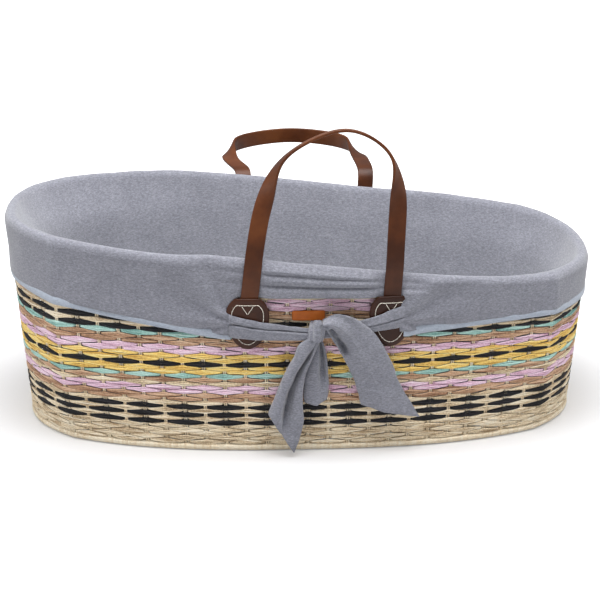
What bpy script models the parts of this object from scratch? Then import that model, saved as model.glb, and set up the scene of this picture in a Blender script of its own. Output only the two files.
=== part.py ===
"""Moses basket: a woven oval cradle on a steel wire frame, with a fabric liner, tied sashes, leather
handles and a mattress. Metres, +Z up. The head end is at -X and the foot end at +X. The front is at -Y.
The origin is on the floor, under the middle of the base."""

import math

import bmesh
import bpy
from mathutils import Matrix, Vector

# ---- driving dimensions -------------------------------------------------------------------------
RIM_HALF_LENGTH = 0.415
RIM_HALF_WIDTH = 0.233
BASE_HALF_LENGTH = 0.3915
BASE_HALF_WIDTH = 0.206
PLAN_EXPONENT = 2.5
RIM_MID_HEIGHT = 0.268
RIM_SLOPE = -0.083
RIM_CURVE = -0.045

STAKES = 72
CORNER_ANGLE = math.radians(37)
CREASE = 0.011
CREASE_REACH = 0.06

FIRST_ROW = 0.0187
PITCH = 0.0059
LEVEL_ROWS = 19
LAST_EVEN_ROW = 35
ROWS = 43
HEAD_FAN = 0.14
FOOT_FAN = -0.20

WEAVE = 0.005
STAKE_THICK = 0.0026
STAKE_WIDE = 0.0045
WIRE = 0.004
HOOP = 0.005
POST = 0.0024
GAP = 0.0004
CLOTH = 0.002
LEATHER = 0.003

HANDLE_MIDDLE = 0.0175
HANDLE_FEET = (-0.080, 0.111)
HINGE_FEET = (-0.0745, 0.1155)
HINGE_HEIGHT = 0.284
HINGE_OUT = 0.2395
STRAP_WIDE = 0.025
FRONT_LEAN = math.radians(-10)
BACK_LEAN = math.radians(85)
PATCH_RADIUS = 0.0305
PATCH_MIDDLE = 0.192
KNOT_HEIGHT = 0.180
TIE_OUT = 0.0125

MATTRESS_HALF_LENGTH = 0.360
MATTRESS_HALF_WIDTH = 0.176
MATTRESS_FLOOR = 0.0215
MATTRESS_THICK = 0.036


# ---- the shape of the wall ----------------------------------------------------------------------
def rim_height(x):
    """Top of the woven rim, which falls from the head to the foot."""
    return RIM_MID_HEIGHT + RIM_SLOPE * x + RIM_CURVE * x * x


def signed_power(value, power):
    return math.copysign(abs(value) ** power, value)


def oval(angle, half_length, half_width):
    """A point of the rounded oblong outline."""
    power = 2 / PLAN_EXPONENT
    x = half_length * signed_power(math.cos(angle), power)
    y = half_width * signed_power(math.sin(angle), power)
    return Vector((x, y, 0))


def half_sizes(z):
    share = z / RIM_MID_HEIGHT
    length = BASE_HALF_LENGTH + (RIM_HALF_LENGTH - BASE_HALF_LENGTH) * share
    width = BASE_HALF_WIDTH + (RIM_HALF_WIDTH - BASE_HALF_WIDTH) * share
    return length, width


def equal_angles(count):
    """Angles that divide the outline at mid height into equal lengths."""
    fine = 7200
    length, width = half_sizes(RIM_MID_HEIGHT / 2)
    angles = [2 * math.pi * i / fine for i in range(fine + 1)]
    points = [oval(a, length, width) for a in angles]
    travelled = [0.0]
    for before, after in zip(points, points[1:]):
        travelled.append(travelled[-1] + (after - before).length)
    found, i = [], 0
    for k in range(count):
        while travelled[i] < travelled[-1] * k / count:
            i += 1
        found.append(angles[i])
    return found


ANGLES = equal_angles(STAKES)


def corner_angles():
    """The four corner posts, each moved to its nearest stake."""
    half, full = math.pi, 2 * math.pi
    wanted = (CORNER_ANGLE, half - CORNER_ANGLE, half + CORNER_ANGLE, full - CORNER_ANGLE)
    return [min(ANGLES, key=lambda a: abs(a - w)) for w in wanted]


CORNERS = corner_angles()


def plan_normal(angle, half_length, half_width):
    step = 0.02
    along = oval(angle + step, half_length, half_width) - oval(angle - step, half_length, half_width)
    return Vector((along.y, -along.x, 0)).normalized()


def wall_point(angle, out, z):
    """A point out from the wall's outer face, at height z. The wall is pulled out at its corner posts."""
    length, width = half_sizes(z)
    here = oval(angle, length, width)
    near = min((here - oval(c, length, width)).length for c in CORNERS)
    bulge = CREASE * (0.35 + 0.65 * math.sin(math.pi * min(z, RIM_MID_HEIGHT) / RIM_MID_HEIGHT))
    push = out + bulge * math.exp(-near / CREASE_REACH)
    here += plan_normal(angle, length, width) * push
    here.z = z
    return here


def rim_x(angle):
    """Where a station of the outline is along the rim, which sets how high the rim is there."""
    return wall_point(angle, 0, RIM_MID_HEIGHT).x


def row_height(row, x):
    """Middle of a woven row. Upper rows fan out towards the head, and the last ones fill up to the rim."""
    if row <= LEVEL_ROWS:
        return FIRST_ROW + PITCH * row
    fan = HEAD_FAN if x < 0 else FOOT_FAN
    reach = min(abs(x) / RIM_HALF_LENGTH, 1)
    pitch = PITCH * (1 + fan * reach * reach * (3 - 2 * reach))
    level = FIRST_ROW + PITCH * LEVEL_ROWS
    if row <= LAST_EVEN_ROW:
        return level + pitch * (row - LEVEL_ROWS)
    last = level + pitch * (LAST_EVEN_ROW - LEVEL_ROWS)
    top = rim_height(x) - 0.0125
    return last + (top - last) * (row - LAST_EVEN_ROW) / (ROWS - 0.5 - LAST_EVEN_ROW)


def side_angle(x, side, z):
    """The outline's angle where the wall's long side passes x. Side is -1 at the front, 1 at the back."""
    length, _ = half_sizes(z)
    share = signed_power(x / length, PLAN_EXPONENT / 2)
    return side * math.acos(share)


def side_point(x, side, out, z):
    return wall_point(side_angle(x, side, z), out, z)


# ---- mesh builders ------------------------------------------------------------------------------
def clear_scene():
    for obj in list(bpy.data.objects):
        bpy.data.objects.remove(obj)


def material(name, colour, roughness, metallic=0.0):
    made = bpy.data.materials.new(name)
    made.use_nodes = True
    shader = made.node_tree.nodes["Principled BSDF"]
    shader.inputs["Base Color"].default_value = (*colour, 1)
    shader.inputs["Roughness"].default_value = roughness
    shader.inputs["Metallic"].default_value = metallic
    return made


def add_object(name, vertices, faces, finish, smooth=True):
    mesh = bpy.data.meshes.new(name)
    mesh.from_pydata([tuple(v) for v in vertices], [], faces)
    work = bmesh.new()
    work.from_mesh(mesh)
    bmesh.ops.recalc_face_normals(work, faces=work.faces)
    work.to_mesh(mesh)
    work.free()
    if smooth:
        mesh.shade_smooth()
        mesh.set_sharp_from_angle(angle=math.radians(40))
    mesh.materials.append(finish)
    obj = bpy.data.objects.new(name, mesh)
    bpy.context.scene.collection.objects.link(obj)
    return obj


def loft(name, sections, finish, closed, smooth=True):
    """A solid through equal sections: a ring if closed, otherwise a bar with flat ends."""
    size = len(sections[0])
    vertices = [p for section in sections for p in section]
    faces = []
    count = len(sections)
    for i in range(count if closed else count - 1):
        a, b = i * size, (i + 1) % count * size
        for j in range(size):
            k = (j + 1) % size
            faces.append((a + j, a + k, b + k, b + j))
    if not closed:
        faces.append(tuple(range(size)))
        faces.append(tuple(range((count - 1) * size, count * size)))
    return add_object(name, vertices, faces, finish, smooth)


def wall_ring(name, corners, finish):
    """A ring round the basket. Each corner is (out, height), and a height may be a function of x."""
    sections = []
    for angle in ANGLES:
        section = []
        for out, height in corners:
            z = height(rim_x(angle)) if callable(height) else height
            section.append(wall_point(angle, out, z))
        sections.append(section)
    return loft(name, sections, finish, closed=True)


def stack(name, rings, finish):
    """A solid through level rings, bottom and top closed by one face each."""
    count = len(rings[0])
    vertices = [p for ring in rings for p in ring]
    faces = []
    for i in range(len(rings) - 1):
        a, b = i * count, (i + 1) * count
        faces += [(a + j, a + (j + 1) % count, b + (j + 1) % count, b + j) for j in range(count)]
    faces.append(tuple(range(count)))
    faces.append(tuple(range((len(rings) - 1) * count, len(rings) * count)))
    return add_object(name, vertices, faces, finish)


def rod(name, path, diameter, finish, closed=False, roundness=0):
    """A round wire along a path of points: a curve with a round bevel and capped ends."""
    curve = bpy.data.curves.new(name, "CURVE")
    curve.dimensions = "3D"
    curve.bevel_depth = diameter / 2
    curve.bevel_resolution = roundness
    curve.use_fill_caps = not closed
    line = curve.splines.new("POLY")
    line.points.add(len(path) - 1)
    for point, place in zip(line.points, path):
        point.co = (*place, 1)
    line.use_cyclic_u = closed
    curve.materials.append(finish)
    obj = bpy.data.objects.new(name, curve)
    bpy.context.scene.collection.objects.link(obj)
    return obj


def slab(name, outline, place, thick, finish):
    """A flat piece: an outline of (x, z) points, laid at place(x, z) and thickened outwards."""
    count = len(outline)
    inner = [place(x, z, 0) for x, z in outline]
    outer = [place(x, z, thick) for x, z in outline]
    faces = [tuple(range(count)), tuple(range(count, 2 * count))]
    faces += [(i, (i + 1) % count, count + (i + 1) % count, count + i) for i in range(count)]
    return add_object(name, inner + outer, faces, finish, smooth=False)


def smooth_path(points, steps):
    """A Catmull-Rom curve through the points, ends included."""
    ends = [points[0] * 2 - points[1], *points, points[-1] * 2 - points[-2]]
    path = []
    for a, b, c, d in zip(ends, ends[1:], ends[2:], ends[3:]):
        for i in range(steps):
            t = i / steps
            squared = 2 * a - 5 * b + 4 * c - d
            cubed = 3 * b - a - 3 * c + d
            path.append((2 * b + (c - a) * t + squared * t**2 + cubed * t**3) / 2)
    return [*path, points[-1]]


# ---- steel wire frame ---------------------------------------------------------------------------
BASE_HOOP_OUT = -0.0087
BASE_HOOP_HEIGHT = 0.0065
RIM_HOOP_OUT = -0.0048
RIM_HOOP_DROP = 0.0068
STAKE_OUTER = -WEAVE - GAP
STAKE_INNER = STAKE_OUTER - STAKE_THICK
STAKE_DROP = 0.0145
RING_LOW = 0.0140
RING_HIGH = 0.0170
RAIL_Y = 0.085
RAIL_HALF = 0.33
RAIL_HEIGHT = 0.0105
BAR_HALF = 0.165
BAR_SPACING = 0.22


def hoops(steel):
    base = [wall_point(a, BASE_HOOP_OUT, BASE_HOOP_HEIGHT) for a in ANGLES]
    rod("base_hoop", base, HOOP, steel, closed=True)
    rim = [wall_point(a, RIM_HOOP_OUT, rim_height(rim_x(a)) - RIM_HOOP_DROP) for a in ANGLES]
    rod("rim_hoop", rim, HOOP, steel, closed=True)


def posts(steel):
    """Six upright wires between the hoops, each halfway between two stakes so that it clears them."""
    stations = {
        "post_foot": 0,
        "post_back_right": ANGLES.index(CORNERS[0]),
        "post_back_left": ANGLES.index(CORNERS[1]),
        "post_head": STAKES // 2,
        "post_front_left": ANGLES.index(CORNERS[2]),
        "post_front_right": ANGLES.index(CORNERS[3]),
    }
    levels = 6
    out = STAKE_INNER + POST / 2 - GAP
    low = RING_HIGH + GAP
    for name, station in stations.items():
        angle = (ANGLES[station] + ANGLES[station + 1]) / 2
        rise = rim_height(rim_x(angle)) - STAKE_DROP - low
        path = [wall_point(angle, out, low + rise * i / levels) for i in range(levels + 1)]
        rod(name, path, POST, steel)


def floor_wires(steel):
    """Two rails along the floor and three bars across them, resting on the woven floor."""
    for name, y in (("floor_rail_front", -RAIL_Y), ("floor_rail_back", RAIL_Y)):
        ends = [Vector((-RAIL_HALF, y, RAIL_HEIGHT)), Vector((RAIL_HALF, y, RAIL_HEIGHT))]
        rod(name, ends, WIRE, steel, roundness=2)
    z = RAIL_HEIGHT + WIRE + GAP
    for name, x in (("head", -BAR_SPACING), ("middle", 0.0), ("foot", BAR_SPACING)):
        ends = [Vector((x, -BAR_HALF, z)), Vector((x, BAR_HALF, z))]
        rod("floor_bar_" + name, ends, WIRE, steel, roundness=2)


# ---- weaving ------------------------------------------------------------------------------------
def weave_bands(finishes):
    """Each band is a group of woven rows of one colour or pattern: (name, first row, last row, finish)."""
    bands = (
        ("band_natural_low", 0, 3, "natural"),
        ("band_check_low", 4, 8, "black"),
        ("band_brown_low", 9, 11, "brown"),
        ("band_pink_low", 12, 13, "pink"),
        ("band_teal_low", 14, 16, "teal"),
        ("band_yellow_black", 17, 21, "yellow"),
        ("band_pink_mid", 22, 23, "pink"),
        ("band_brown_mid", 24, 26, "brown"),
        ("band_check_high", 27, 29, "black"),
        ("band_pink_high", 30, 35, "pink"),
        ("band_top", 36, 42, "natural"),
    )
    for name, first, last, finish in bands:
        low = lambda x, row=first - 0.5: row_height(row, x) + GAP / 2
        high = lambda x, row=last + 0.5: row_height(row, x) - GAP / 2
        wall_ring(name, ((0, low), (0, high), (-WEAVE, high), (-WEAVE, low)), finishes[finish])


BASE_BORDER_OUT = 0.0022
BASE_BORDER_IN = -0.0125
BASE_BORDER_TOP = 0.0132
RIM_BORDER_IN = -0.0096
RIM_BORDER_DEEP = 0.0120
RIM_SKIN = 0.0016


def base_border(natural):
    """The wrapped edge under the wall. It is open inwards, where it holds the base hoop."""
    soft, skin = 0.004, 0.0032
    hoop_side = -0.0052
    ceiling = BASE_BORDER_TOP - skin
    profile = (
        (BASE_BORDER_OUT, soft),
        (BASE_BORDER_OUT, BASE_BORDER_TOP - soft),
        (BASE_BORDER_OUT - soft, BASE_BORDER_TOP),
        (BASE_BORDER_IN, BASE_BORDER_TOP),
        (BASE_BORDER_IN, ceiling),
        (hoop_side, ceiling),
        (hoop_side, skin),
        (BASE_BORDER_IN, skin),
        (BASE_BORDER_IN, 0),
        (BASE_BORDER_OUT - soft, 0),
    )
    wall_ring("base_border", profile, natural)


def rim_border(natural):
    """The wrapped edge over the rim hoop, open downwards over the hoop and the stakes' ends."""
    below = lambda drop: lambda x: rim_height(x) - drop
    ceiling, shoulder = 0.0039, 0.0020
    profile = (
        (0, below(RIM_BORDER_DEEP)),
        (0, below(shoulder)),
        (RIM_BORDER_IN / 2, below(0)),
        (RIM_BORDER_IN, below(shoulder)),
        (RIM_BORDER_IN, below(RIM_BORDER_DEEP)),
        (RIM_BORDER_IN + RIM_SKIN, below(RIM_BORDER_DEEP)),
        (RIM_BORDER_IN + RIM_SKIN, below(ceiling)),
        (-RIM_SKIN, below(ceiling)),
        (-RIM_SKIN, below(RIM_BORDER_DEEP)),
    )
    wall_ring("rim_border", profile, natural)


def woven_floor(natural):
    """The woven floor, a mat inside the base border and level with its underside."""
    bottom, top = 0.0, 0.0080
    rings = [[], []]
    for angle in ANGLES:
        edge = wall_point(angle, BASE_BORDER_IN - GAP, 0)
        rings[0].append(edge + Vector((0, 0, bottom)))
        rings[1].append(edge + Vector((0, 0, top)))
    stack("floor_weave", rings, natural)


def stake_cage(natural):
    """The upright stakes, which stand inside the rows and are joined by the turned-in ring at their feet."""
    levels = 2
    vertices, faces, starts = [], [], []
    for k, angle in enumerate(ANGLES):
        gap = (ANGLES[(k + 1) % STAKES] - ANGLES[k - 1]) % (2 * math.pi) / 2
        width = (wall_point(angle + gap / 2, 0, RING_HIGH) - wall_point(angle - gap / 2, 0, RING_HIGH)).length
        spread = gap * STAKE_WIDE / 2 / width
        for edge in (angle - spread, angle + spread):
            starts.append(len(vertices))
            for out in (STAKE_OUTER, STAKE_INNER):
                heights = (RING_LOW, RING_HIGH) if out == STAKE_OUTER else (RING_HIGH, RING_LOW)
                vertices += [wall_point(edge, out, z) for z in heights]
    for i, a in enumerate(starts):
        b = starts[(i + 1) % len(starts)]
        sides = (0, 2, 3) if i % 2 == 0 else (0, 1, 2, 3)
        faces += [(a + j, a + (j + 1) % 4, b + (j + 1) % 4, b + j) for j in sides]
    for k, angle in enumerate(ANGLES):
        a, b = starts[2 * k], starts[2 * k + 1]
        ring = [a + 1, a + 2, b + 2, b + 1]
        foot = [vertices[i] for i in ring]
        anchor = wall_point(angle, 0, RING_HIGH)
        rise = rim_height(rim_x(angle)) - STAKE_DROP - RING_HIGH
        for level in range(1, levels + 1):
            shift = wall_point(angle, 0, RING_HIGH + rise * level / levels) - anchor
            above = list(range(len(vertices), len(vertices) + 4))
            vertices += [p + shift for p in foot]
            faces += [(ring[j], ring[(j + 1) % 4], above[(j + 1) % 4], above[j]) for j in range(4)]
            ring = above
        faces.append(tuple(ring))
    add_object("stake_cage", vertices, faces, natural, smooth=False)


# ---- liner and sashes ---------------------------------------------------------------------------
WINDOW_LEFT = HANDLE_FEET[0] - 0.036
WINDOW_RIGHT = HANDLE_FEET[1] + 0.036
FLAP_DROP = 0.0435


def in_window(x, y):
    """Between the handles the skirt is bunched up under the straps, and shows the weave and the patches."""
    return WINDOW_LEFT < x < WINDOW_RIGHT and abs(y) > 0.15


def skirt_drop(x):
    """How far the liner's skirt hangs below the rim: deep beside the handles, shallow at the foot."""
    head, handle, foot = 0.0725, 0.100, 0.0405
    share = min(abs(x) / RIM_HALF_LENGTH, 1)
    if x < 0:
        return handle + (head - handle) * share**2
    return handle + (foot - handle) * share**0.8


def liner_section(angle):
    """The cloth's middle line at one station: up the inside from the floor, over the rim, down to the hem."""
    x = rim_x(angle)
    rim = rim_height(x)
    y = wall_point(angle, 0, RIM_MID_HEIGHT).y
    hem = rim - (FLAP_DROP if in_window(x, y) else skirt_drop(x))
    path = [(-0.028, 0.0197), (-0.018, 0.0245), (-0.0122, 0.0355), (-0.0122, 0.140)]
    path += [(-0.0122, rim - 0.003), (-0.0085, rim + 0.0030), (-0.0020, rim + 0.0030), (0.0019, rim - 0.002)]
    path += [(0.0022, rim - 0.014), (0.0022, hem)]
    return [wall_point(angle, out, z) for out, z in path]


def liner(jersey):
    """One piece of cloth: floor, inner wall, the roll over the rim, and the outer skirt."""
    sections = [liner_section(angle) for angle in ANGLES]
    size = len(sections[0])
    vertices = [p for section in sections for p in section]
    faces = []
    for k in range(STAKES):
        a, b = k * size, (k + 1) % STAKES * size
        faces += [(a + i, a + i + 1, b + i + 1, b + i) for i in range(size - 1)]
    faces.append(tuple(k * size for k in range(STAKES)))
    obj = add_object("liner", vertices, faces, jersey)
    cloth = obj.modifiers.new("cloth", "SOLIDIFY")
    cloth.thickness = CLOTH
    cloth.offset = 0


def hem_bindings(binding):
    """The turned hem under the skirt, one round the head and one round the foot."""
    for name, at_head in (("hem_binding_head", True), ("hem_binding_foot", False)):
        start = STAKES // 4 if at_head else -STAKES // 4
        stations = []
        for k in range(start, start + STAKES // 2 + 1):
            angle = ANGLES[k % STAKES]
            here = wall_point(angle, 0, RIM_MID_HEIGHT)
            if not in_window(here.x, here.y) and (here.x < 0) == at_head:
                stations.append(angle)
        sections = []
        for angle in stations:
            hem = rim_height(rim_x(angle)) - skirt_drop(rim_x(angle))
            high, low = hem - GAP * 2, hem - 0.0065
            corners = ((0.0008, low), (0.0036, low), (0.0036, high), (0.0008, high))
            sections.append([wall_point(angle, out, z) for out, z in corners])
        loft(name, sections, binding, closed=False)


def sash_band(name, side, x_edge, x_knot, jersey):
    """A sash from the skirt's corner to the knot, narrowing as it goes."""
    steps = 8
    edge_height, edge_half, knot_half = 0.186, 0.0165, 0.0060
    sections = []
    for i in range(steps + 1):
        t = i / steps
        x = x_edge + (x_knot - x_edge) * t
        middle = edge_height + (KNOT_HEIGHT - edge_height) * t
        half = edge_half + (knot_half - edge_half) * t
        out = TIE_OUT if i else 0.0090
        corners = ((out, -half), (out + CLOTH, -half), (out + CLOTH, half), (out, half))
        sections.append([side_point(x, side, o, middle + dz) for o, dz in corners])
    loft(name, sections, jersey, closed=False)


def knot(name, side, jersey):
    """The tied knot, a rounded lump."""
    wide, deep, tall = 0.0115, 0.0105, 0.0165
    centre = side_point(HANDLE_MIDDLE, side, 2 * deep + GAP, KNOT_HEIGHT)
    mesh = bpy.data.meshes.new(name)
    work = bmesh.new()
    bmesh.ops.create_uvsphere(work, u_segments=10, v_segments=6, radius=1)
    bmesh.ops.scale(work, vec=(wide, deep, tall), verts=work.verts)
    work.to_mesh(mesh)
    work.free()
    mesh.shade_smooth()
    mesh.materials.append(jersey)
    obj = bpy.data.objects.new(name, mesh)
    obj.location = centre
    bpy.context.scene.collection.objects.link(obj)


def sash_ends(prefix, side, jersey):
    """Below the knot hang a folded tail, a short loop, and a broad tail that crosses the right patch."""
    wall = side_point(HANDLE_MIDDLE, side, 0, KNOT_HEIGHT).y
    lean = 0.06

    def hang(out):
        """Hangs straight down from the knot while the wall below draws in, following part of its slope."""
        return lambda x, z, more: Vector((x, wall + side * (out + more - lean * (KNOT_HEIGHT - z)), z))

    folded_tail = (
        (0.003, 0.160), (-0.0125, 0.160), (-0.0353, 0.119), (-0.0539, 0.070),
        (-0.0437, 0.052), (-0.0198, 0.018), (-0.0089, 0.050), (-0.0071, 0.100), (-0.003, 0.142),
    )
    loop = (
        (0.0195, 0.159), (0.0070, 0.159), (-0.0015, 0.128), (-0.0050, 0.0875), (0.0018, 0.0824),
        (0.0138, 0.0824), (0.0271, 0.0913), (0.0259, 0.1254),
    )
    broad_tail = (
        (0.0320, 0.203), (0.0546, 0.2043), (0.0714, 0.193), (0.1014, 0.1615), (0.1312, 0.0984),
        (0.1470, 0.0606), (0.0702, 0.0832), (0.0595, 0.1173), (0.0474, 0.1475), (0.0320, 0.178),
    )
    slab(prefix + "_tail_folded", folded_tail, hang(0.0123), CLOTH, jersey)
    slab(prefix + "_tail_loop", loop, hang(0.0143), 0.006, jersey)
    slab(prefix + "_tail_broad", broad_tail, hang(0.0183), CLOTH, jersey)


# ---- handles ------------------------------------------------------------------------------------
ARCH_FOOT = 0.0012
ARCH_FRONT = (
    (HINGE_FEET[0], ARCH_FOOT),
    (-0.0605, 0.075),
    (-0.031, 0.139),
    (0.045, 0.174),
    (0.101, 0.151),
    (0.119, 0.105),
    (HINGE_FEET[1], ARCH_FOOT),
)
ARCH_BACK = (
    (HINGE_FEET[0], ARCH_FOOT),
    (-0.082, 0.075),
    (-0.062, 0.142),
    (0.0205, 0.174),
    (0.103, 0.142),
    (0.123, 0.075),
    (HINGE_FEET[1], ARCH_FOOT),
)
STRAP_OUT = 0.0037
PATCH_OUT = STRAP_OUT + LEATHER + 0.0006
PATCH_TALL = 1.1
THREAD = 0.0009
TWIST_START = 0.055
TWIST_END = 0.150


def on_axis(obj, place):
    """Hangs a moving piece from an empty on its joint's axis."""
    pivot = bpy.data.objects.new(obj.name + "_axis", None)
    pivot.location = place
    bpy.context.scene.collection.objects.link(pivot)
    obj.parent = pivot
    obj.matrix_parent_inverse = Matrix.Translation(place).inverted()


def strap(name, side, lean, arch, leather):
    """A leather strap that turns edge-on as it arches, so that its width lies across at the top."""
    line = smooth_path([Vector((x, 0, v)) for x, v in arch], 4)
    pivot = Vector((0, side * HINGE_OUT, HINGE_HEIGHT))
    rise = Vector((0, side * math.sin(lean), math.cos(lean)))
    away = Vector((0, side * math.cos(lean), -math.sin(lean)))
    across = Vector((1, 0, 0))
    sections = []
    for i, p in enumerate(line):
        run = (line[min(i + 1, len(line) - 1)] - line[max(i - 1, 0)]).normalized()
        along = across * run.x + rise * run.z
        t = min(max((p.z - TWIST_START) / (TWIST_END - TWIST_START), 0), 1)
        turn = math.copysign(math.pi / 2 * t * t * (3 - 2 * t), run.z)
        wide = along.cross(away).normalized() * math.cos(turn) + away * math.sin(turn)
        thin = along.cross(wide).normalized()
        centre = pivot + across * p.x + rise * p.z - away * (LEATHER / 2) * math.cos(turn)
        half_wide, half_thin = wide * STRAP_WIDE / 2, thin * LEATHER / 2
        corners = ((-1, -1), (1, -1), (1, 1), (-1, 1))
        sections.append([centre + half_wide * w + half_thin * h for w, h in corners])
    on_axis(loft(name, sections, leather, closed=False), pivot)


def strap_end(name, side, x_low, x_high, leather):
    """The sewn end of a strap, from behind its patch up to where the handle bends."""
    low, straight, top = 0.199, 0.262, HINGE_HEIGHT - 0.0035
    heights = [low + (straight - low) * i / 4 for i in range(5)] + [top]
    sections = []
    for z in heights:
        t = (z - low) / (HINGE_HEIGHT - low)
        x = x_low + (x_high - x_low) * t
        lift = max(0, (t - 0.4) / 0.6)
        section = []
        for w, o in ((-1, 0), (1, 0), (1, 1), (-1, 1)):
            edge = x + w * STRAP_WIDE / 2
            on_wall = side_point(edge, side, STRAP_OUT + o * LEATHER, min(z, straight)).y
            upright = side * (HINGE_OUT - LEATHER + o * LEATHER)
            section.append(Vector((edge, on_wall + (upright - on_wall) * lift, z)))
        sections.append(section)
    loft(name, sections, leather, closed=False)


def patch_arc(x, radius, start, sweep, steps):
    """Points (x, z) on an arc round a patch's middle, slightly taller than wide. Angles are in degrees."""
    turns = [math.radians(start + sweep * i / steps) for i in range(steps + 1)]
    return [(x + radius * math.cos(t), PATCH_MIDDLE + PATCH_TALL * radius * math.sin(t)) for t in turns]


def patch(name, side, x, leather):
    """A round leather patch with a flat top, curved with the wall."""
    outline = patch_arc(x, PATCH_RADIUS, 130, 280, 16)
    slab(name, outline, lambda px, pz, more: side_point(px, side, PATCH_OUT + more, pz), LEATHER, leather)


def patch_stitching(name, side, x, thread):
    """One run of thread round the patch, dipping in a V at its top."""
    out = PATCH_OUT + LEATHER + GAP + THREAD / 2
    points = patch_arc(x, PATCH_RADIUS * 0.72, 112, 316, 18)
    points.append((x, PATCH_MIDDLE))
    rod(name, [side_point(px, side, out, pz) for px, pz in points], THREAD, thread, closed=True)


def label(leather):
    """A small blank leather tab on the front, between the handles."""
    outline = ((-0.0235, 0.197), (0.0225, 0.197), (0.0225, 0.212), (-0.0235, 0.212))
    slab("leather_tab", outline, lambda x, z, more: side_point(x, -1, 0.0006 + more, z), 0.0018, leather)


# ---- mattress -----------------------------------------------------------------------------------
def pad_ring(inset, z, count=48):
    """A level outline of the mattress, drawn in from its full size."""
    length, width = MATTRESS_HALF_LENGTH - inset, MATTRESS_HALF_WIDTH - inset
    angles = [2 * math.pi * i / count for i in range(count)]
    return [oval(a, length, width) + Vector((0, 0, z)) for a in angles]


def mattress(foam, cotton):
    """A foam core in a fitted sheet, which is open underneath."""
    sheet, soft = 0.0015, 0.006
    low, high = MATTRESS_FLOOR, MATTRESS_FLOOR + MATTRESS_THICK
    edge = sheet + GAP
    core = ((edge + soft, low), (edge, low + soft), (edge, high - soft), (edge + soft, high))
    place = Vector((0, 0, MATTRESS_FLOOR))
    on_axis(stack("mattress_core", [pad_ring(inset, z) for inset, z in core], foam), place)
    top = high + GAP
    outside = ((0.002, low), (0, low + soft), (0, top - soft + sheet), (soft, top + sheet))
    inside = ((soft + sheet, top), (sheet, top - soft), (sheet, low + soft), (0.002 + sheet, low))
    rings = [pad_ring(i, z) for i, z in inside] + [pad_ring(i, z) for i, z in outside]
    on_axis(stack("mattress_sheet", rings, cotton), place)


# ---- assembly -----------------------------------------------------------------------------------
def main():
    clear_scene()
    steel = material("painted_steel", (0.25, 0.24, 0.22), 0.45, 0.8)
    natural = material("natural_cord", (0.66, 0.54, 0.38), 0.8)
    finishes = {
        "natural": natural,
        "black": material("black_cord", (0.02, 0.02, 0.022), 0.8),
        "brown": material("brown_cord", (0.36, 0.21, 0.12), 0.8),
        "pink": material("pink_cord", (0.72, 0.45, 0.56), 0.8),
        "teal": material("teal_cord", (0.30, 0.52, 0.48), 0.8),
        "yellow": material("yellow_cord", (0.78, 0.53, 0.16), 0.8),
    }
    jersey = material("grey_jersey", (0.30, 0.31, 0.35), 0.95)
    binding = material("hem_binding", (0.36, 0.41, 0.48), 0.9)
    leather = material("brown_leather", (0.11, 0.037, 0.016), 0.5)
    tab = material("orange_leather", (0.42, 0.12, 0.02), 0.55)
    thread = material("waxed_thread", (0.70, 0.58, 0.45), 0.7)
    foam = material("foam", (0.80, 0.78, 0.70), 0.95)
    cotton = material("white_cotton", (0.80, 0.80, 0.78), 0.95)

    hoops(steel)
    posts(steel)
    floor_wires(steel)
    weave_bands(finishes)
    base_border(natural)
    rim_border(natural)
    woven_floor(natural)
    stake_cage(natural)
    liner(jersey)
    hem_bindings(binding)
    for prefix, side in (("front", -1), ("back", 1)):
        sash_band(prefix + "_sash_left", side, WINDOW_LEFT - 0.006, HANDLE_MIDDLE - 0.0125, jersey)
        sash_band(prefix + "_sash_right", side, WINDOW_RIGHT + 0.006, HANDLE_MIDDLE + 0.0125, jersey)
        knot(prefix + "_knot", side, jersey)
        sash_ends(prefix, side, jersey)
        for where, x_low, x_high in zip(("left", "right"), HANDLE_FEET, HINGE_FEET):
            strap_end(f"{prefix}_strap_end_{where}", side, x_low, x_high, leather)
            patch(f"{prefix}_patch_{where}", side, x_low, leather)
            patch_stitching(f"{prefix}_stitching_{where}", side, x_low, thread)
    strap("front_handle_strap", -1, FRONT_LEAN, ARCH_FRONT, leather)
    strap("back_handle_strap", 1, BACK_LEAN, ARCH_BACK, leather)
    label(tab)
    mattress(foam, cotton)


main()
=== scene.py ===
"""Looks of the moses basket: woven cords, cloth liner with tied sashes, leather handles and a mattress.
Metres, +Z up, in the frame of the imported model: head end at -X, front at -Y, floor at z = 0."""

import math

import bmesh
import bpy
import numpy as np
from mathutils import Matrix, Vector, noise


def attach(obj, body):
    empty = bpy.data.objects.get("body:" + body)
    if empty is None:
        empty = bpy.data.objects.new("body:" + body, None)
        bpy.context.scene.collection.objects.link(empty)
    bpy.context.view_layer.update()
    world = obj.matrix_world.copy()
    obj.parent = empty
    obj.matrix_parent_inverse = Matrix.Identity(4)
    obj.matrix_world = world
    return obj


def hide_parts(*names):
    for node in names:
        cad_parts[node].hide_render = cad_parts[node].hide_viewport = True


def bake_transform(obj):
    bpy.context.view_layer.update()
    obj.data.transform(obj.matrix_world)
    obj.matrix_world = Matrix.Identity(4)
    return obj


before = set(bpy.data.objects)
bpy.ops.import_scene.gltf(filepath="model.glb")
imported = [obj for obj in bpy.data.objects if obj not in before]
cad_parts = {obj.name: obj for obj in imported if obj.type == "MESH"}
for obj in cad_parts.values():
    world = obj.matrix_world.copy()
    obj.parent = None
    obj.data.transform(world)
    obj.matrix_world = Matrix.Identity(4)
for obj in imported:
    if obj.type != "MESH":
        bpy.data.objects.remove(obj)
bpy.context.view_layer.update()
rng = np.random.default_rng(7)

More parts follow.
